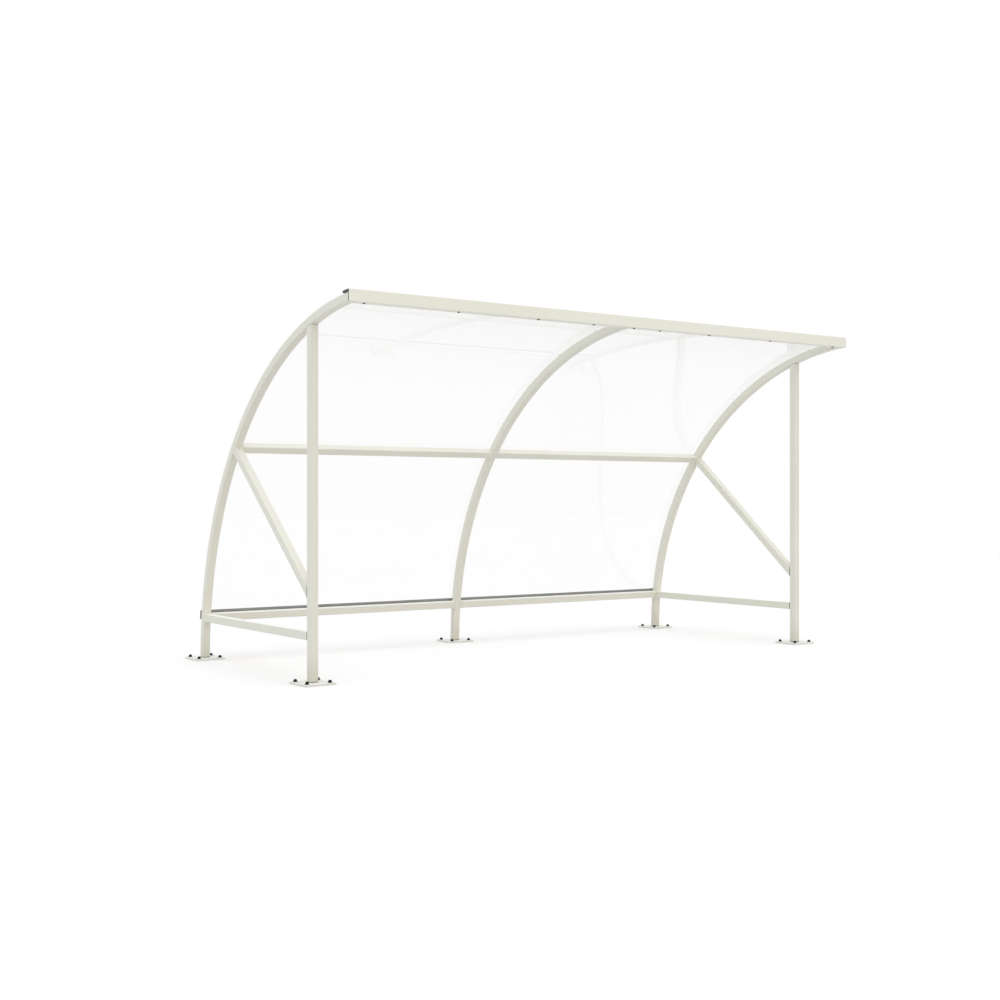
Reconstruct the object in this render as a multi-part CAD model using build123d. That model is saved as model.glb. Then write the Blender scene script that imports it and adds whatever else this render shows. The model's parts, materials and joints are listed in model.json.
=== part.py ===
from build123d import *
from math import asin, cos, degrees, hypot, radians, sin, sqrt, tan
import os

# A bike shelter with two bays: tube ribs bent to one arc, front posts, rails, braces, clear
# curved sheets and a folded front fascia. Millimetres, +Z up, +X to the right as seen from the
# open front, +Y to the closed back. The origin is on the ground, at the centre of the outline.

# Driving dimensions of the frame
bay_length = 2000.0         # between the centres of neighbouring ribs
rib_outer_radius = 2204.0   # outside of the ribs' arc
roof_front_offset = 144.0   # the roof's front ends this far short of the arc's crown
post_setback = 1560.0       # from the rear legs to the front posts, centre to centre
bottom_rail_height = 281.0  # centres of the rear bottom rails above the ground
side_rail_height = 278.0    # centres of the side rails above the ground
mid_rail_angle = 39.6       # degrees up the arc
brace_foot_rise = 227.6     # brace centre at the post, above the top of the side rail

# Square tube of the whole frame
tube = 50.0
tube_wall = 3.0
tube_corner = 4.0           # outside radius
corner_flats = 2            # flats that make each round corner of bent tubes and plugs

# Base plates
plate_width = 200.0
plate_thickness = 12.0
plate_bevel = 1.5           # along the upper edges
hole_diameter = 14.0
hole_edge_distance = 26.0

# Plastic plugs that close the tube ends, each with a flange between the tube and its neighbour
plug_flange = 4.0
plug_insert = 25.0
plug_clearance = 0.3

# Clear sheets, and what holds their edges
sheet_thickness = 5.0
sheet_joint = 4.0           # between the two sheets, on the middle rib
sheet_drop = 15.0           # lower edge below the bottom rails' centres
sheet_front_gap = 3.0       # front edge behind the fascia
seat_gap = 0.3              # between curved faces that lie on each other
strip_thickness = 13.0
strip_height = 60.0
strip_edge = 4.0            # rounding of the strip's outer edges
seal_thickness = 12.0       # at the middle of the fascia's upper flange

# Folded front fascia
fascia_wall = 2.5
fascia_height = 70.4
fascia_flange = 68.0        # depth of both flanges, from the front
fascia_bend = 4.0           # outside radius of the two bends
fascia_end_gap = 3.0        # ends inside the outer faces of the end ribs
notch_gap = 1.0             # around each rib, in the bottom flange

overrun = 100.0             # cutting shapes reach this far past what they cut

# Places that follow from the dimensions
half_tube = tube / 2
half_length = bay_length + half_tube
roof_reach = rib_outer_radius - half_tube - roof_front_offset
leg_y = (roof_reach - plate_width / 2) / 2
fascia_front_y = leg_y - roof_reach
fascia_back_y = fascia_front_y + fascia_wall
arc_y = leg_y + half_tube - rib_outer_radius
arc_z = plate_thickness
arc_axis = Axis((0, arc_y, arc_z), (1, 0, 0))
rib_centre_radius = rib_outer_radius - half_tube
rib_inner_radius = rib_outer_radius - tube
rib_end_y = fascia_back_y + plug_flange
post_y = leg_y - post_setback
post_back_y = post_y + half_tube
bottom_rail_angle = degrees(asin((bottom_rail_height - arc_z) / rib_centre_radius))
foot_angle = degrees(plug_flange / rib_centre_radius)
foot_insert_angle = degrees((plug_flange + plug_insert) / rib_centre_radius)

sheet_inner_radius = rib_outer_radius + seat_gap
sheet_outer_radius = sheet_inner_radius + sheet_thickness
strip_inner_radius = sheet_outer_radius + seat_gap
strip_outer_radius = strip_inner_radius + strip_thickness
seal_seat_radius = sheet_outer_radius + seat_gap
sheet_low_z = bottom_rail_height - sheet_drop
strip_top_z = sheet_low_z + strip_height

# The fascia's upper flange lies on the seal, square to the arc at its own middle.
seal_outer_radius = seal_seat_radius + seal_thickness
fascia_arc_front = fascia_front_y - arc_y
fascia_tilt = degrees(asin((fascia_arc_front + fascia_flange / 2) / seal_outer_radius))
fascia_slope = tan(radians(fascia_tilt))
fascia_upright_wall = fascia_wall / cos(radians(fascia_tilt))
fascia_top_z = (
    arc_z + (seal_outer_radius + fascia_wall) / cos(radians(fascia_tilt))
    - fascia_arc_front * fascia_slope
)
fascia_bottom_z = fascia_top_z - fascia_height

rib_places = {"left": -bay_length, "middle": 0, "right": bay_length}
end_places = {"left": -bay_length, "right": bay_length}


def arc_point(radius, angle):
    """A point (y, z) on a circle about the arc's axis, at an angle up from the back."""
    turn = radians(angle)
    return arc_y + radius * cos(turn), arc_z + radius * sin(turn)


def arc_height(radius, y):
    """Height of a circle about the arc's axis, at a distance y."""
    return arc_z + sqrt(radius ** 2 - (y - arc_y) ** 2)


def angle_at_height(radius, z):
    """Angle up the arc at which a circle about its axis reaches a height."""
    return degrees(asin((z - arc_z) / radius))


def outline():
    """Outside of a straight tube."""
    return RectangleRounded(tube, tube, tube_corner)


def flat_cornered_outline():
    """Outside of a bent tube or a plug, with each round corner made of a few flats."""
    centre = half_tube - tube_corner
    points = []
    for quarter, (x_side, y_side) in enumerate([(1, 1), (-1, 1), (-1, -1), (1, -1)]):
        for step in range(corner_flats + 1):
            turn = radians(90) * (quarter + step / corner_flats)
            x = x_side * centre + tube_corner * cos(turn)
            y = y_side * centre + tube_corner * sin(turn)
            points.append((x, y))
    return Polygon(*points, align=None)


def bore(clearance=0):
    """Inside of a tube, or what fits there with a clearance all round."""
    width = tube - 2 * (tube_wall + clearance)
    return Rectangle(width, width)


def tube_section():
    return outline() - bore()


def plug_section():
    return bore(plug_clearance)


def inside_arc(radius):
    """Everything closer to the arc's axis than a radius, over the shelter's whole length."""
    length = 2 * (half_length + overrun)
    return Pos(0, arc_y, arc_z) * Rot(0, 90, 0) * Cylinder(radius, length)


def between_y(solid, y_front, y_back):
    """The part of a solid between two upright planes across the shelter."""
    slab_size = 2 * (rib_outer_radius + bay_length)
    slab = Box(slab_size, y_back - y_front, slab_size)
    return solid & (Pos(0, (y_front + y_back) / 2, 0) * slab)


def bent(section, low_angle, high_angle):
    """A section that lies level at the arc's foot, carried along the arc between two angles."""
    return revolve(section.rotate(arc_axis, low_angle), arc_axis, high_angle - low_angle)


def arc_bar(section, x, low_angle=0, high_angle=90):
    """A section bent along a rib's line, between two angles up the arc."""
    return bent(Pos(x, leg_y, arc_z) * section, low_angle, high_angle)


def arc_shell(x_low, x_high, inner_radius, outer_radius, low_angle, high_angle):
    """A curved plate about the arc's axis."""
    middle_y = arc_y + (inner_radius + outer_radius) / 2
    section = Pos((x_low + x_high) / 2, middle_y, arc_z) * Rectangle(
        x_high - x_low, outer_radius - inner_radius
    )
    return bent(section, low_angle, high_angle)


def rib(x):
    bar = arc_bar(flat_cornered_outline() - bore(), x, foot_angle)
    return between_y(bar, rib_end_y, leg_y + overrun)


def rib_plug(x):
    """The plug in a rib's front end, whose flange ends above the fascia's lower bend."""
    flange = between_y(arc_bar(flat_cornered_outline(), x), fascia_back_y, rib_end_y)
    low_z = fascia_bottom_z + fascia_bend
    flange &= Pos(x, fascia_back_y, low_z + overrun / 2) * Box(overrun, overrun, overrun)
    insert = between_y(arc_bar(plug_section(), x), rib_end_y, rib_end_y + plug_insert)
    return flange + insert


def rib_foot_plug(x):
    flange = arc_bar(flat_cornered_outline(), x, 0, foot_angle)
    return flange + arc_bar(plug_section(), x, 0, foot_insert_angle)


def upright(section, x, z_low):
    """A section standing at a front post's place, taller than the roof."""
    return extrude(Pos(x, post_y, z_low) * section, rib_outer_radius)


def post(x):
    top_radius = rib_inner_radius - seat_gap - plug_flange
    return upright(tube_section(), x, plate_thickness + plug_flange) & inside_arc(top_radius)


def post_plug(x):
    top_radius = rib_inner_radius - seat_gap
    seat_radius = top_radius - plug_flange
    low_z = arc_height(seat_radius, post_back_y) - plug_insert
    flange = upright(flat_cornered_outline(), x, low_z)
    flange &= inside_arc(top_radius) - inside_arc(seat_radius)
    insert = upright(plug_section(), x, low_z) & inside_arc(top_radius)
    return flange + insert


def post_foot_plug(x):
    flange = extrude(flat_cornered_outline(), plug_flange)
    insert = extrude(plug_section(), plug_flange + plug_insert)
    return Pos(x, post_y, plate_thickness) * (flange + insert)


def base_plate(x, y):
    pitch = plate_width - 2 * hole_edge_distance
    plate = extrude(Rectangle(plate_width, plate_width), plate_thickness)
    plate = chamfer(plate.faces().sort_by(Axis.Z)[-1].edges(), plate_bevel)
    holes = GridLocations(pitch, pitch, 2, 2) * Cylinder(hole_diameter / 2, overrun)
    return Pos(x, y, 0) * (plate - holes)


def cross_rail(side, angle):
    """A rail between two ribs, turned with the arc so that its faces line up with theirs."""
    start_x = half_tube if side > 0 else half_tube - bay_length
    y, z = arc_point(rib_centre_radius, angle)
    turn = radians(angle)
    end_plane = Plane((start_x, y, z), x_dir=(0, cos(turn), sin(turn)), z_dir=(1, 0, 0))
    return extrude(end_plane * tube_section(), bay_length - tube)


def level_bar(section, x, y_front, length):
    """A section that runs level from a front place towards the back."""
    end_plane = Plane((x, y_front, side_rail_height), x_dir=(1, 0, 0), z_dir=(0, 1, 0))
    return extrude(end_plane * section, length)


def side_rail(x):
    bar = level_bar(tube_section(), x, post_back_y + plug_flange, post_setback)
    return bar & inside_arc(rib_inner_radius - seat_gap)


def side_rail_plug(x):
    flange = level_bar(flat_cornered_outline(), x, post_back_y, plug_flange)
    insert = level_bar(plug_section(), x, post_back_y, plug_flange + plug_insert)
    return flange + insert


def slanted_bar(section, x):
    """A section along a brace's line: from the post, up to the rib beside the middle rail."""
    foot_y, foot_z = post_back_y, side_rail_height + half_tube + brace_foot_rise
    head_y, head_z = arc_point(rib_inner_radius, mid_rail_angle)
    way = Vector(0, head_y - foot_y, head_z - foot_z).normalized()
    start = Vector(x, foot_y, foot_z) - way * tube
    end_plane = Plane(start, x_dir=(1, 0, 0), z_dir=way)
    return extrude(end_plane * section, hypot(head_y - foot_y, head_z - foot_z) + 2 * tube)


def brace(x):
    bar = slanted_bar(tube_section(), x) & inside_arc(rib_inner_radius - seat_gap)
    return between_y(bar, post_back_y + plug_flange, leg_y)


def brace_plug(x):
    flange_end_y = post_back_y + plug_flange
    flange = between_y(slanted_bar(flat_cornered_outline(), x), post_back_y, flange_end_y)
    insert = slanted_bar(plug_section(), x)
    return flange + between_y(insert, post_back_y, flange_end_y + plug_insert)


def roof_sheet(side):
    x_low = sheet_joint / 2 if side > 0 else -half_length
    x_high = half_length if side > 0 else -sheet_joint / 2
    low_angle = angle_at_height(sheet_inner_radius, sheet_low_z)
    shell = arc_shell(x_low, x_high, sheet_inner_radius, sheet_outer_radius, low_angle, 90)
    return between_y(shell, fascia_back_y + sheet_front_gap, leg_y + overrun)


def rear_strip():
    """The strip that clamps the sheets' lower edges, with its outer edges rounded."""
    low_angle = angle_at_height(strip_inner_radius, sheet_low_z)
    high_angle = angle_at_height(strip_inner_radius, strip_top_z)
    strip = arc_shell(
        -half_length, half_length, strip_inner_radius, strip_outer_radius, low_angle, high_angle
    )
    long_edges = strip.edges().filter_by(Axis.X).sort_by(Axis.Y)
    return fillet(long_edges[-2:], strip_edge)


def upper_flange_height(depth, wall):
    """Height over the fascia's underside of a face of its upper flange, at a depth from the front."""
    return fascia_height - depth * fascia_slope - wall


def fascia():
    """A channel folded from one sheet, open to the back, its lower flange notched at the ribs."""
    half_fascia = half_length - fascia_end_gap
    end_plane = Plane(
        (-half_fascia, fascia_front_y, fascia_bottom_z), x_dir=(0, 1, 0), z_dir=(1, 0, 0)
    )
    back = fascia_flange
    body = Polygon(
        (0, 0), (back, 0), (back, upper_flange_height(back, 0)), (0, fascia_height), align=None
    )
    body = fillet(body.vertices().sort_by(Axis.X)[:2], fascia_bend)
    front, past_back = fascia_wall, fascia_flange + overrun
    hollow = Polygon(
        (front, fascia_wall), (past_back, fascia_wall),
        (past_back, upper_flange_height(past_back, fascia_upright_wall)),
        (front, upper_flange_height(front, fascia_upright_wall)), align=None,
    )
    hollow = fillet(hollow.vertices().sort_by(Axis.X)[:2], fascia_bend - fascia_wall)
    channel = extrude(end_plane * (body - hollow), 2 * half_fascia)
    notch = Box(tube + 2 * notch_gap, fascia_flange, fascia_height)
    notch_y = rib_end_y - notch_gap + fascia_flange / 2
    for x in rib_places.values():
        channel -= Pos(x, notch_y, fascia_bottom_z) * notch
    return channel


def front_seal():
    """The seal between the sheets and the fascia's upper flange, shaped to both."""
    end_plane = Plane(
        (-half_length, fascia_front_y, fascia_bottom_z), x_dir=(0, 1, 0), z_dir=(1, 0, 0)
    )
    front, back = fascia_bend + seat_gap, fascia_flange
    block = Polygon(
        (front, 0), (back, 0),
        (back, upper_flange_height(back, fascia_upright_wall)),
        (front, upper_flange_height(front, fascia_upright_wall)), align=None,
    )
    return extrude(end_plane * block, 2 * half_length) - inside_arc(seal_seat_radius)


nodes = {"front_fascia": fascia(), "front_seal": front_seal(), "rear_clamp_strip": rear_strip()}

for name, x in rib_places.items():
    nodes[f"{name}_rib"] = rib(x)
    nodes[f"{name}_rib_plug"] = rib_plug(x)
    nodes[f"{name}_rib_foot_plug"] = rib_foot_plug(x)
    nodes[f"{name}_rear_base_plate"] = base_plate(x, leg_y)

for name, x in end_places.items():
    side = 1 if x > 0 else -1
    nodes[f"{name}_front_post"] = post(x)
    nodes[f"{name}_post_plug"] = post_plug(x)
    nodes[f"{name}_post_foot_plug"] = post_foot_plug(x)
    nodes[f"{name}_front_base_plate"] = base_plate(x, post_y)
    nodes[f"{name}_side_rail"] = side_rail(x)
    nodes[f"{name}_side_rail_plug"] = side_rail_plug(x)
    nodes[f"{name}_brace"] = brace(x)
    nodes[f"{name}_brace_plug"] = brace_plug(x)
    nodes[f"{name}_bottom_rail"] = cross_rail(side, bottom_rail_angle)
    nodes[f"{name}_middle_rail"] = cross_rail(side, mid_rail_angle)
    nodes[f"{name}_roof_sheet"] = roof_sheet(side)

os.makedirs("parts", exist_ok=True)
for name, solid in nodes.items():
    export_step(solid, f"parts/{name}.step")
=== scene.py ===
import json
import math

import bpy
from mathutils import Matrix, Vector


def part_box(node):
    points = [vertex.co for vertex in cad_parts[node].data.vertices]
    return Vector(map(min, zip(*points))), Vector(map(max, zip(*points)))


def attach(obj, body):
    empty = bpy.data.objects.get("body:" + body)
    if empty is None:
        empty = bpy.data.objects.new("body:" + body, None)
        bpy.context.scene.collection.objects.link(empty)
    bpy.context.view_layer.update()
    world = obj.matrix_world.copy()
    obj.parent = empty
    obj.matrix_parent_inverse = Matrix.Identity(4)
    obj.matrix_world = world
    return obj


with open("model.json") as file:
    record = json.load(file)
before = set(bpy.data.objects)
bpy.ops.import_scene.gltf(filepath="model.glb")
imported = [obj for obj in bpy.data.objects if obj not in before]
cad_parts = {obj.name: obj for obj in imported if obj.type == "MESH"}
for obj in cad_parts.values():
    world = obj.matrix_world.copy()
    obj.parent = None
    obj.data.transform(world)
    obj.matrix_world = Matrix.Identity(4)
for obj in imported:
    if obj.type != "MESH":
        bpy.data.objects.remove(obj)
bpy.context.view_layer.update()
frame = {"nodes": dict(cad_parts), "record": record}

# A bike shelter: paint, clear sheets, fasteners, welds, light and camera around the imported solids.
# Lengths are in metres and turns in radians, unless a comment says otherwise.

MM = 0.001

# The photograph's camera. The turn is in degrees, and the sensor and lens are in millimetres.
CAMERA_PLACE = (-5.7008, -7.7738, 1.066)
CAMERA_TURN = -34.98
CAMERA_SENSOR = 36.0
CAMERA_LENS = 49.79

# Colours as screen values from 0 to 255.
CREAM = (232, 228, 212)
CREAM_SHADE = (228, 224, 207)
# Painted top light: a paler cream on the frame's faces that look up.
CREAM_PAINTED_TOP_LIGHT = (251, 249, 239)
# Painted shade: a darker cream on the frame near the ground.
CREAM_PAINTED_GROUND_SHADE = (202, 198, 182)
# The plates' cream is tuned a little paler and cooler than the frame's, as painted light for their lit tops.
PLATE_CREAM = (231, 230, 220)
PLATE_SHADE = (227, 226, 215)
# Painted top light: the plates' colour on faces that look up.
PLATE_PAINTED_TOP_LIGHT = (234, 232, 219)
# The fascia's cream is painted lighter than the frame's, for the fuller light it gets up high.
FASCIA_CREAM = (240, 237, 221)
FASCIA_SHADE = (237, 234, 217)
# Painted shade: a slightly darker cream on the fascia's faces that look up, which would otherwise clip under
# the light from above.
FASCIA_PAINTED_TOP_SHADE = (238, 234, 219)
STRIP_GREY = (136, 136, 130)
STRIP_SHADE = (126, 126, 121)
RUBBER_BLACK = (62, 62, 61)
RUBBER_SHADE = (52, 52, 52)
# The plugs are one plastic in three tones: mid grey at the rail and brace ends, a paler grey at the post
# tops as painted light against the shade under the ribs, and a dark grey at the feet as painted shade at the
# ground.
PLUG_GREY = (130, 130, 124)
PLUG_SHADE = (118, 118, 113)
POST_PLUG_GREY = (192, 192, 183)
POST_PLUG_SHADE = (184, 184, 175)
FOOT_GREY = (66, 66, 63)
FOOT_SHADE = (56, 56, 54)
BOLT_BLACK = (8, 8, 8)
BOLT_SHADE = (13, 13, 13)

# Grain of the surfaces. Gloss drifts over smaller patches than tone.
PAINT_GRAIN = dict(
    rough=(0.42, 0.48), grain_size=2.4 * MM, grain_depth=0.03 * MM, patch_size=0.6, sheen=0.5,
)
MOULDED_GRAIN = dict(rough=(0.5, 0.65), grain_size=0.9 * MM, grain_depth=0.05 * MM, patch_size=0.08)
BOLT_GRAIN = dict(
    rough=(0.45, 0.6), grain_size=0.7 * MM, grain_depth=0.03 * MM, patch_size=0.02, shine=0.2,
)
GRAIN_STRENGTH = 0.25
SHEEN_ROUGHNESS = 0.4
GLOSS_PATCHES = 6
NOISE_SPAN = (0.3, 0.7)

# A painted top tone, lighter for the frame and plates and darker for the fascia, lies where a face's normal
# points up by these shares, and painted shade near the ground fades over these heights.
PAINTED_TOP_LIES = (0.84, 0.97)
PAINTED_GROUND_SHADE_REACHES = (0.18, -0.06)

# The clear sheets: what each face passes head on and edge on, and how gloss grows.
SHEET_CLEAR = (0.9995, 0.9995, 0.9995, 1)
SHEET_EDGE_ON = (0.997, 0.997, 0.997, 1)
SHEET_UNTINTED = (1, 1, 1, 1)
TINT_POWER = 2.0
HEAD_ON_GLOSS = 0.04
GRAZING_GLOSS = 0.65
GRAZE_POWER = 5.0
FACING_BLEND = 0.5
WAVE_SCALE = 3
WAVE_STRENGTH = 0.1
WAVE_DEPTH = 0.5 * MM
HAZE_SCALE = 40
HAZE_ROUGHNESS = (0.0, 0.006)

# Light. The room's light is even, with more from above, left, right and front.
WORLD_EVEN = (0.706, 0.714, 0.721)
WORLD_ABOVE = (0.185, 0.215, 0.26)
WORLD_LEFT = (0.061, 0.12, 0.154)
WORLD_RIGHT = (0.058, 0.025, 0.0)
WORLD_FRONT = (0.339, 0.31, 0.305)
BACKDROP = (1, 1, 1, 1)
SUN_LIGHT = 0.5
SUN_COLOUR = (0.93, 1.0, 1.078)
SUN_SPREAD = 70  # degrees
HALF_A_BOUNCE = 0.5

# The floor: its colour for bounced light, and as seen near the shelter and far behind it.
FLOOR_BOUNCE = (0.67, 0.66, 0.65, 1)
FLOOR_WHITE = (0.969, 0.934, 0.899, 1)
FLOOR_FAR = (0.941, 0.907, 0.871, 1)
FLOOR_FADES = (0.9, 2.4)
FLOOR_REACH = 60
FLOOR_DROP = 0.5 * MM

# Fasteners.
CAP_RADIUS = 13 * MM
CAP_HEIGHT = 16 * MM
CAP_TURN = 0.7
FASCIA_BOLT_RADIUS = 9 * MM
FASCIA_BOLT_HEIGHT = 5 * MM
FASCIA_BOLT_PLACES = (-1.909, -1.278, -0.7, -0.27, 0.06, 0.281, 0.713, 1.286, 1.916)
SCREW_RADIUS = 8 * MM
SCREW_HEIGHT = 4 * MM
SCREW_PITCH = 0.4
SCREW_TURN = 9
STRIP_BOLT_PITCH = 0.5
SINK = 0.3 * MM

# Shape of a domed head, as shares of its radius or height.
FLANGE_EDGE = 0.16
FLANGE_TOP = 0.22
FLANGE_TOP_RADIUS = 0.94
BODY_RADIUS = 0.72
BODY_FOOT = 1.04
BODY_TOP = 0.6
DOME_STEPS = 5
HEAD_SIDES = 24

# Welds. The section's points are shares of the leg, out from one face and up the other.
WELD_LEG = 5 * MM
WELD_SECTION = ((-0.1, 1.0), (0.28, 0.66), (0.66, 0.28), (1.0, -0.1), (-0.1, -0.1))
WELD_RIPPLE = 4 * MM
RIPPLE_SHARE = 0.12
WELD_STEPS = 40
TUBE_CORNER = 4 * MM
SHARP_ANGLE = 35  # degrees

# The ribs' arc, from the left rib's box: it is upright at the base plate's top and ends at the front.
rib_low, rib_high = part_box("left_rib")
TUBE = rib_high.x - rib_low.x
HALF_TUBE = TUBE / 2
RIB_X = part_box("right_rib")[1].x - HALF_TUBE
arc_depth = rib_high.y - rib_low.y
ARC_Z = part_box("left_rear_base_plate")[1].z
arc_rise = rib_high.z - ARC_Z
ARC_RADIUS = (arc_depth ** 2 + arc_rise ** 2) / (2 * arc_depth)
ARC_Y = rib_high.y - ARC_RADIUS


def arc_point(x, radius, angle):
    return Vector((x, ARC_Y + radius * math.cos(angle), ARC_Z + radius * math.sin(angle)))


def arc_out(angle):
    return Vector((0, math.cos(angle), math.sin(angle)))


def arc_along(angle):
    return Vector((0, -math.sin(angle), math.cos(angle)))


def arc_places(node):
    """The radius and angle of each of a node's vertices about the arc's axis."""
    corners = [v.co for v in frame["nodes"][node].data.vertices]
    offsets = [(c.y - ARC_Y, c.z - ARC_Z) for c in corners]
    return [(math.hypot(y, z), math.atan2(z, y)) for y, z in offsets]


# Materials.

def screen(colour):
    """A colour of screen values as the linear colour that a shader takes."""
    shares = [value / 255 for value in colour]
    linear = [s / 12.92 if s <= 0.04045 else ((s + 0.055) / 1.055) ** 2.4 for s in shares]
    return (*linear, 1.0)


def new_material(name):
    material = bpy.data.materials.new(name)
    material.use_nodes = True
    material.node_tree.nodes.clear()
    return material, material.node_tree


def put(tree, socket, value):
    """Sets a node's input to a value, or joins it where the value is a socket."""
    if isinstance(value, bpy.types.NodeSocket):
        tree.links.new(value, socket)
    else:
        socket.default_value = value


def add(tree, kind, **inputs):
    """A new node with its inputs set or joined."""
    node = tree.nodes.new(kind)
    for name, value in inputs.items():
        put(tree, node.inputs[name.replace("_", " ")], value)
    return node


def maths(tree, operation, *values):
    node = tree.nodes.new("ShaderNodeMath")
    node.operation = operation
    for value, socket in zip(values, node.inputs):
        put(tree, socket, value)
    return node.outputs[0]


def ramp(tree, value, start, end, low=0.0, high=1.0):
    """A number that goes from low to high as a value goes from start to end."""
    node = add(
        tree, "ShaderNodeMapRange",
        Value=value, From_Min=start, From_Max=end, To_Min=low, To_Max=high,
    )
    return node.outputs[0]


def mix_colours(tree, share, first, second):
    node = tree.nodes.new("ShaderNodeMix")
    node.data_type = "RGBA"
    share_in, first_in, second_in = node.inputs[0], node.inputs[6], node.inputs[7]
    for value, socket in ((share, share_in), (first, first_in), (second, second_in)):
        put(tree, socket, value)
    return node.outputs[2]


def mix_shaders(tree, share, first, second):
    node = add(tree, "ShaderNodeMixShader", Fac=share)
    put(tree, node.inputs[1], first.outputs[0])
    put(tree, node.inputs[2], second.outputs[0])
    return node


def place_of(tree):
    return add(tree, "ShaderNodeTexCoord").outputs["Object"]


def part_of(tree, vector, axis):
    return add(tree, "ShaderNodeSeparateXYZ", Vector=vector).outputs[axis]


def noise(tree, place, scale, detail=2.0):
    return add(tree, "ShaderNodeTexNoise", Vector=place, Scale=scale, Detail=detail).outputs[0]


def seen_directly(tree):
    """1 for the camera's rays and for what gloss and glass show, 0 for bounced light."""
    path = add(tree, "ShaderNodeLightPath")
    total = path.outputs["Is Camera Ray"]
    for other in ("Is Glossy Ray", "Is Transmission Ray"):
        total = maths(tree, "MAXIMUM", total, path.outputs[other])
    before_bounce = maths(tree, "LESS_THAN", path.outputs["Diffuse Depth"], HALF_A_BOUNCE)
    return maths(tree, "MULTIPLY", total, before_bounce)


def finish_material(tree, shader):
    add(tree, "ShaderNodeOutputMaterial", Surface=shader.outputs[0])


def grained(name, colour, shade, rough, grain_size, grain_depth, patch_size, shine=0.5, sheen=0.0,
            painted_top=None, painted_ground_shade=None):
    """A coated or moulded surface: tone drifts over patches, gloss varies and a grain raises it.
    A painted top tone recolours the faces that look up, standing in for light from above, and painted shade
    darkens what is near the ground.
    """
    material, tree = new_material(name)
    place = place_of(tree)
    drift = ramp(tree, noise(tree, place, 1 / patch_size), *NOISE_SPAN)
    tone = mix_colours(tree, drift, screen(colour), screen(shade))
    # Painted shade: the tone darkens towards the ground.
    if painted_ground_shade:
        height = part_of(tree, place, "Z")
        tone = mix_colours(tree, ramp(tree, height, *PAINTED_GROUND_SHADE_REACHES), tone, screen(painted_ground_shade))
    # Painted top tone: faces that look up take a colour that stands in for light from above.
    if painted_top:
        normal = add(tree, "ShaderNodeTexCoord").outputs["Normal"]
        upward = part_of(tree, normal, "Z")
        tone = mix_colours(tree, ramp(tree, upward, *PAINTED_TOP_LIES), tone, screen(painted_top))
    gloss = ramp(tree, noise(tree, place, GLOSS_PATCHES / patch_size, detail=4), *NOISE_SPAN, *rough)
    grain = noise(tree, place, 1 / grain_size, detail=3)
    bump = add(tree, "ShaderNodeBump", Height=grain, Strength=GRAIN_STRENGTH, Distance=grain_depth)
    shader = add(
        tree, "ShaderNodeBsdfPrincipled",
        Base_Color=tone, Roughness=gloss, Normal=bump.outputs[0], Specular_IOR_Level=shine,
        Sheen_Weight=sheen, Sheen_Roughness=SHEEN_ROUGHNESS,
    )
    finish_material(tree, shader)
    return material


def clear_plastic(name):
    """Clear sheet: light passes straight through, and gloss grows as the view grazes it."""
    material, tree = new_material(name)
    place = place_of(tree)
    wave = noise(tree, place, WAVE_SCALE)
    bump = add(tree, "ShaderNodeBump", Height=wave, Strength=WAVE_STRENGTH, Distance=WAVE_DEPTH)
    haze = ramp(tree, noise(tree, place, HAZE_SCALE, detail=4), *NOISE_SPAN, *HAZE_ROUGHNESS)
    gloss = add(tree, "ShaderNodeBsdfGlossy", Roughness=haze, Normal=bump.outputs[0])
    grazing = add(tree, "ShaderNodeLayerWeight", Blend=FACING_BLEND).outputs["Facing"]
    steep = maths(tree, "POWER", grazing, GRAZE_POWER)
    mirror = maths(tree, "MULTIPLY_ADD", steep, GRAZING_GLOSS - HEAD_ON_GLOSS, HEAD_ON_GLOSS)
    seen = seen_directly(tree)
    mirror = maths(tree, "MULTIPLY", mirror, seen)
    tint = mix_colours(tree, maths(tree, "POWER", grazing, TINT_POWER), SHEET_CLEAR, SHEET_EDGE_ON)
    tint = mix_colours(tree, seen, SHEET_UNTINTED, tint)
    through = add(tree, "ShaderNodeBsdfTransparent", Color=tint)
    finish_material(tree, mix_shaders(tree, mirror, through, gloss))
    return material


# These paints carry a painted top tone on faces that look up, and the frame's paint also carries painted
# shade near the ground.
frame_paint = grained("frame_paint", CREAM, CREAM_SHADE, **PAINT_GRAIN, painted_top=CREAM_PAINTED_TOP_LIGHT, painted_ground_shade=CREAM_PAINTED_GROUND_SHADE)
plate_paint = grained("plate_paint", PLATE_CREAM, PLATE_SHADE, **PAINT_GRAIN, painted_top=PLATE_PAINTED_TOP_LIGHT)
fascia_paint = grained("fascia_paint", FASCIA_CREAM, FASCIA_SHADE, **PAINT_GRAIN, painted_top=FASCIA_PAINTED_TOP_SHADE)
clear_sheet = clear_plastic("clear_sheet")
seal_rubber = grained("seal_rubber", RUBBER_BLACK, RUBBER_SHADE, **MOULDED_GRAIN)
strip_grey = grained("strip_grey", STRIP_GREY, STRIP_SHADE, **MOULDED_GRAIN)
plug_plastic = grained("plug_plastic", PLUG_GREY, PLUG_SHADE, **MOULDED_GRAIN)
# Painted light at the post tops and painted shade at the feet, on copies of the plug plastic.
post_plastic = grained("post_plastic", POST_PLUG_GREY, POST_PLUG_SHADE, **MOULDED_GRAIN)
foot_plastic = grained("foot_plastic", FOOT_GREY, FOOT_SHADE, **MOULDED_GRAIN)
bolt_black = grained("bolt_black", BOLT_BLACK, BOLT_SHADE, **BOLT_GRAIN)


def material_for(node):
    if node.endswith("foot_plug"):
        return foot_plastic
    if node.endswith("post_plug"):
        return post_plastic
    if node.endswith("plug"):
        return plug_plastic
    if node.endswith("base_plate"):
        return plate_paint
    if node.endswith("sheet"):
        return clear_sheet
    others = {"front_fascia": fascia_paint, "front_seal": seal_rubber, "rear_clamp_strip": strip_grey}
    return others.get(node, frame_paint)


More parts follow.
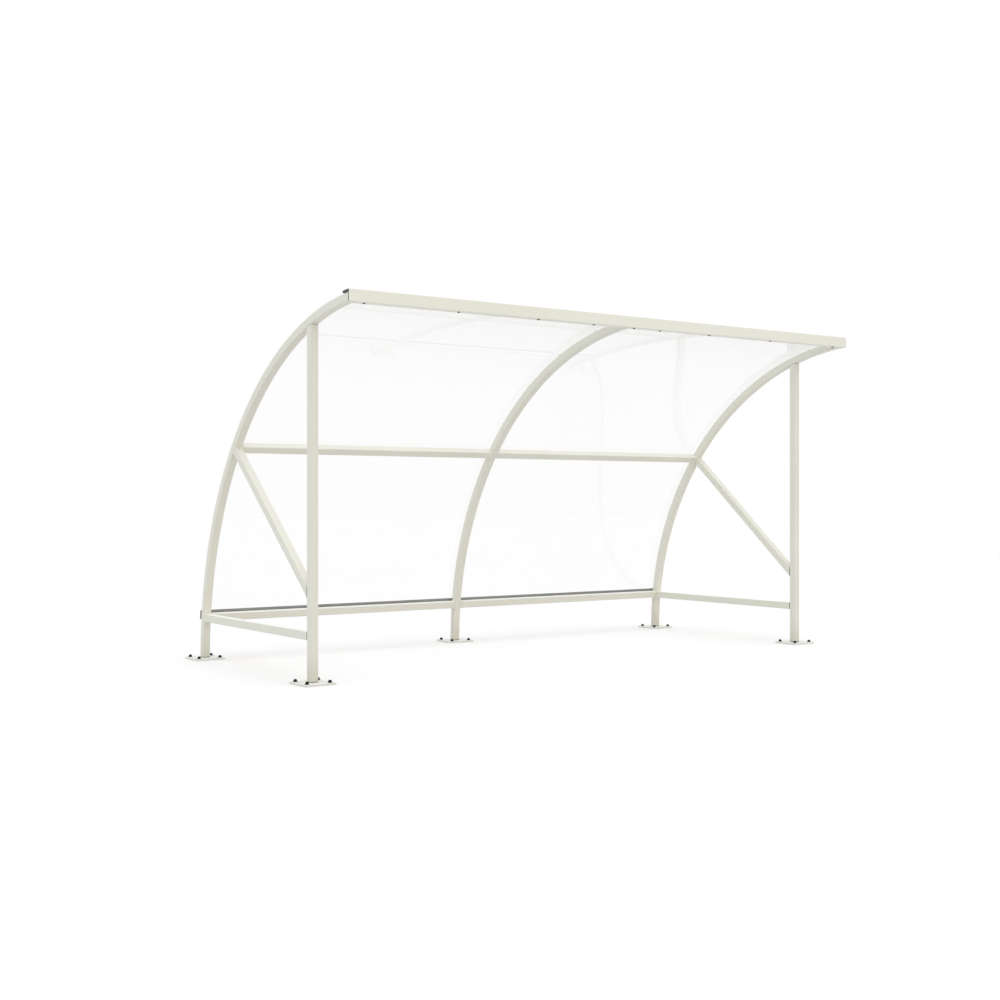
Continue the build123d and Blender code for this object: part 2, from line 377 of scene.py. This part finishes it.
for node, solid in frame["nodes"].items():
    solid.data.materials.clear()
    solid.data.materials.append(material_for(node))


# Pieces.

def new_piece(name, vertices, faces, material, slot):
    mesh = bpy.data.meshes.new(name)
    mesh.from_pydata(vertices, [], faces)
    mesh.validate()
    mesh.materials.append(material)
    mesh.shade_smooth()
    mesh.set_sharp_from_angle(angle=math.radians(SHARP_ANGLE))
    piece = bpy.data.objects.new(name, mesh)
    bpy.context.scene.collection.objects.link(piece)
    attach(piece, "root")


def joined(solids):
    """The vertices and faces of several solids as one."""
    vertices, faces = [], []
    for more_vertices, more_faces in solids:
        first = len(vertices)
        vertices += more_vertices
        faces += [tuple(first + i for i in face) for face in more_faces]
    return vertices, faces


def row_of(name, solid, places, material, slot):
    """One piece made of the same solid at each of several places."""
    vertices, faces = solid
    copies = [([place @ v for v in vertices], faces) for place in places]
    new_piece(name, *joined(copies), material, slot)


def hexagon(turn):
    """The radius of a hexagon of inner radius 1, at an angle."""
    sixth = math.pi / 3
    return 1 / math.cos(turn % sixth - sixth / 2)


def turned(rings):
    """Vertices and faces of a solid about +Z from rings of (radius, height, share of hexagon)."""
    vertices, faces = [], []
    for radius, height, share in rings:
        for side in range(HEAD_SIDES):
            turn = 2 * math.pi * side / HEAD_SIDES
            reach = radius * (1 - share + share * hexagon(turn))
            vertices.append(Vector((reach * math.cos(turn), reach * math.sin(turn), height)))
    for ring in range(len(rings) - 1):
        low, high = ring * HEAD_SIDES, (ring + 1) * HEAD_SIDES
        for side in range(HEAD_SIDES):
            after = (side + 1) % HEAD_SIDES
            faces.append((low + side, low + after, high + after, high + side))
    last = (len(rings) - 1) * HEAD_SIDES
    faces.append(tuple(reversed(range(HEAD_SIDES))))
    faces.append(tuple(range(last, last + HEAD_SIDES)))
    return vertices, faces


def domed_head(radius, height):
    """A head with a round flange, a hexagon body and a dome that stops half a step short of its crown."""
    flange_top = FLANGE_TOP * height
    body, body_top = BODY_RADIUS * radius, BODY_TOP * height
    rings = [
        (radius, -SINK, 0), (radius, FLANGE_EDGE * height, 0), (FLANGE_TOP_RADIUS * radius, flange_top, 0),
        (BODY_FOOT * body, flange_top, 1), (body, body_top, 1),
    ]
    for step in range(1, DOME_STEPS + 1):
        bend = math.pi / 2 * step / (DOME_STEPS + 0.5)
        dome = body_top + (height - body_top) * math.sin(bend)
        rings.append((body * math.cos(bend), dome, 1 - step / DOME_STEPS))
    return turned(rings)


def set_at(place, axis, turn):
    """The matrix that puts a solid made about +Z at a place, along an axis."""
    facing = Vector(axis).to_track_quat("Z", "Y").to_matrix().to_4x4()
    return Matrix.Translation(place) @ facing @ Matrix.Rotation(turn, 4, "Z")


# Anchor bolts, on the record's own bolt patterns, each turned as tightening left it.
anchor = domed_head(CAP_RADIUS, CAP_HEIGHT)
plate_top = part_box("left_front_base_plate")[1].z
for mount in frame["record"]["mounts"]:
    if mount["kind"] != "bolt_pattern":
        continue
    middle = Vector(mount["pos_m"])
    reach_x = mount["dims"]["spacing_x_mm"] / 2 * MM
    reach_y = mount["dims"]["spacing_y_mm"] / 2 * MM
    corners = [(x, y) for x in (-reach_x, reach_x) for y in (-reach_y, reach_y)]
    places = [
        set_at((middle.x + x, middle.y + y, plate_top), (0, 0, 1), CAP_TURN * number)
        for number, (x, y) in enumerate(corners)
    ]
    bolts = mount["name"].replace("anchors", "anchor_bolts")
    row_of(bolts, anchor, places, bolt_black, "plug_plastic")

# Bolts up through the fascia's lower flange.
fascia_low, fascia_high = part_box("front_fascia")
fascia_bolt = domed_head(FASCIA_BOLT_RADIUS, FASCIA_BOLT_HEIGHT)
fascia_bolt_y = (fascia_low.y + fascia_high.y) / 2
places = [set_at((x, fascia_bolt_y, fascia_low.z), (0, 0, -1), x) for x in FASCIA_BOLT_PLACES]
row_of("fascia_bolts", fascia_bolt, places, bolt_black, "plug_plastic")

# Screws through the sheets into the ribs, and bolts through the rear strip, on the outside.
screw = domed_head(SCREW_RADIUS, SCREW_HEIGHT)
sheet_radius = max(radius for radius, angle in arc_places("left_roof_sheet"))
strip_places = arc_places("rear_clamp_strip")
strip_radius = max(radius for radius, angle in strip_places)
strip_low = min(angle for radius, angle in strip_places)
strip_high = max(angle for radius, angle in strip_places)
fascia_angle = math.acos((fascia_high.y - ARC_Y) / sheet_radius)
screw_step = SCREW_PITCH / sheet_radius
screw_count = int((fascia_angle - strip_high) / screw_step)
first_angle = (strip_high + fascia_angle - (screw_count - 1) * screw_step) / 2
screw_angles = [first_angle + number * screw_step for number in range(screw_count)]
sheet_inset = (HALF_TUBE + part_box("right_roof_sheet")[0].x) / 2
screw_rows = {"left": -RIB_X, "right": RIB_X, "middle_left": -sheet_inset, "middle_right": sheet_inset}
for name, x in screw_rows.items():
    places = [set_at(arc_point(x, sheet_radius, a), arc_out(a), SCREW_TURN * a) for a in screw_angles]
    row_of(f"{name}_sheet_screws", screw, places, frame_paint, "frame_paint")

strip_angle = (strip_low + strip_high) / 2
strip_bolt_count = int(2 * RIB_X / STRIP_BOLT_PITCH) + 1
places = []
for number in range(strip_bolt_count):
    x = -RIB_X + number * STRIP_BOLT_PITCH
    places.append(set_at(arc_point(x, strip_radius, strip_angle), arc_out(strip_angle), number))
row_of("rear_strip_bolts", screw, places, bolt_black, "plug_plastic")


# Welds.

def seam_weld(middle, along, out, up):
    """A fillet weld as long as the flat of a tube's face: its rippled section leans on two faces."""
    reach = HALF_TUBE - TUBE_CORNER
    vertices, faces = [], []
    for step in range(WELD_STEPS + 1):
        run = 2 * reach * step / WELD_STEPS
        leg = WELD_LEG * (1 + RIPPLE_SHARE * math.sin(2 * math.pi * run / WELD_RIPPLE))
        point = middle + along * (run - reach)
        vertices += [point + leg * (a * out + b * up) for a, b in WELD_SECTION]
    size = len(WELD_SECTION)
    for step in range(WELD_STEPS):
        low, high = step * size, (step + 1) * size
        for corner in range(size):
            after = (corner + 1) % size
            faces.append((low + corner, low + after, high + after, high + corner))
    last = WELD_STEPS * size
    faces += [tuple(reversed(range(size))), tuple(range(last, last + size))]
    return vertices, faces


for name in ("left_bottom_rail", "right_bottom_rail", "left_middle_rail", "right_middle_rail"):
    low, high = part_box(name)
    middle = (low + high) / 2
    angle = math.atan2(middle.z - ARC_Z, middle.y - ARC_Y)
    radial, tangent = arc_out(angle), arc_along(angle)
    seams = []
    for end, inward in ((low.x, 1), (high.x, -1)):
        for face in (-1, 1):
            edge = Vector((end, middle.y, middle.z)) + face * HALF_TUBE * tangent
            seams.append(seam_weld(edge, radial, face * tangent, Vector((inward, 0, 0))))
    new_piece(f"{name}_welds", *joined(seams), frame_paint, "frame_paint")

inner_radius = ARC_RADIUS - TUBE
for name in ("left_side_rail", "right_side_rail", "left_brace", "right_brace"):
    low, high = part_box(name)
    middle = (low + high) / 2
    ends = [angle for radius, angle in arc_places(name) if abs(radius - inner_radius) < MM]
    end_angle = (max(ends) + min(ends)) / 2
    away = (middle - arc_point(middle.x, inner_radius, end_angle)).normalized()
    seams = []
    for angle, face in ((max(ends), 1), (min(ends), -1)):
        edge = arc_point(middle.x, inner_radius, angle)
        seams.append(seam_weld(edge, Vector((1, 0, 0)), face * arc_along(angle), away))
    new_piece(f"{name}_welds", *joined(seams), frame_paint, "frame_paint")


# Floor, light and camera.

floor_mesh = bpy.data.meshes.new("floor")
floor_ends = (
    (-FLOOR_REACH, -FLOOR_REACH), (FLOOR_REACH, -FLOOR_REACH),
    (FLOOR_REACH, FLOOR_REACH), (-FLOOR_REACH, FLOOR_REACH),
)
floor_mesh.from_pydata([(x, y, -FLOOR_DROP) for x, y in floor_ends], [], [(0, 1, 2, 3)])
floor = bpy.data.objects.new("floor", floor_mesh)
bpy.context.scene.collection.objects.link(floor)
floor_paint, tree = new_material("floor_paint")
behind = part_of(tree, place_of(tree), "Y")
white = mix_colours(tree, ramp(tree, behind, *FLOOR_FADES), FLOOR_WHITE, FLOOR_FAR)
floor_colour = mix_colours(tree, seen_directly(tree), FLOOR_BOUNCE, white)
finish_material(tree, add(tree, "ShaderNodeBsdfDiffuse", Color=floor_colour))
floor_mesh.materials.append(floor_paint)

world = bpy.data.worlds.new("studio")
bpy.context.scene.world = world
world.use_nodes = True
tree = world.node_tree
tree.nodes.clear()
direction = add(tree, "ShaderNodeTexCoord").outputs["Generated"]
lobes = (
    ("Z", 1, WORLD_ABOVE), ("X", -1, WORLD_LEFT), ("X", 1, WORLD_RIGHT), ("Y", -1, WORLD_FRONT),
)
sky = WORLD_EVEN
for axis, sign, colour in lobes:
    towards = maths(tree, "MULTIPLY", part_of(tree, direction, axis), sign)
    share = maths(tree, "MAXIMUM", towards, 0.0)
    more = tree.nodes.new("ShaderNodeVectorMath")
    more.operation = "MULTIPLY_ADD"
    for value, socket in zip((share, colour, sky), more.inputs):
        put(tree, socket, value)
    sky = more.outputs[0]
light = add(tree, "ShaderNodeBackground", Color=sky)
backdrop = add(tree, "ShaderNodeBackground", Color=BACKDROP)
shown = mix_shaders(tree, seen_directly(tree), light, backdrop)
add(tree, "ShaderNodeOutputWorld", Surface=shown.outputs[0])

sun_lamp = bpy.data.lights.new("sun", "SUN")
sun_lamp.energy = SUN_LIGHT
sun_lamp.color = SUN_COLOUR
sun_lamp.angle = math.radians(SUN_SPREAD)
sun = bpy.data.objects.new("sun", sun_lamp)
bpy.context.scene.collection.objects.link(sun)

camera_data = bpy.data.cameras.new("camera")
camera_data.sensor_fit = "HORIZONTAL"
camera_data.sensor_width = CAMERA_SENSOR
camera_data.lens = CAMERA_LENS
camera = bpy.data.objects.new("camera", camera_data)
camera.location = CAMERA_PLACE
camera.rotation_euler = (math.radians(90), 0, math.radians(CAMERA_TURN))
bpy.context.scene.collection.objects.link(camera)
bpy.context.scene.camera = camera
bpy.context.scene.view_settings.view_transform = "Standard"
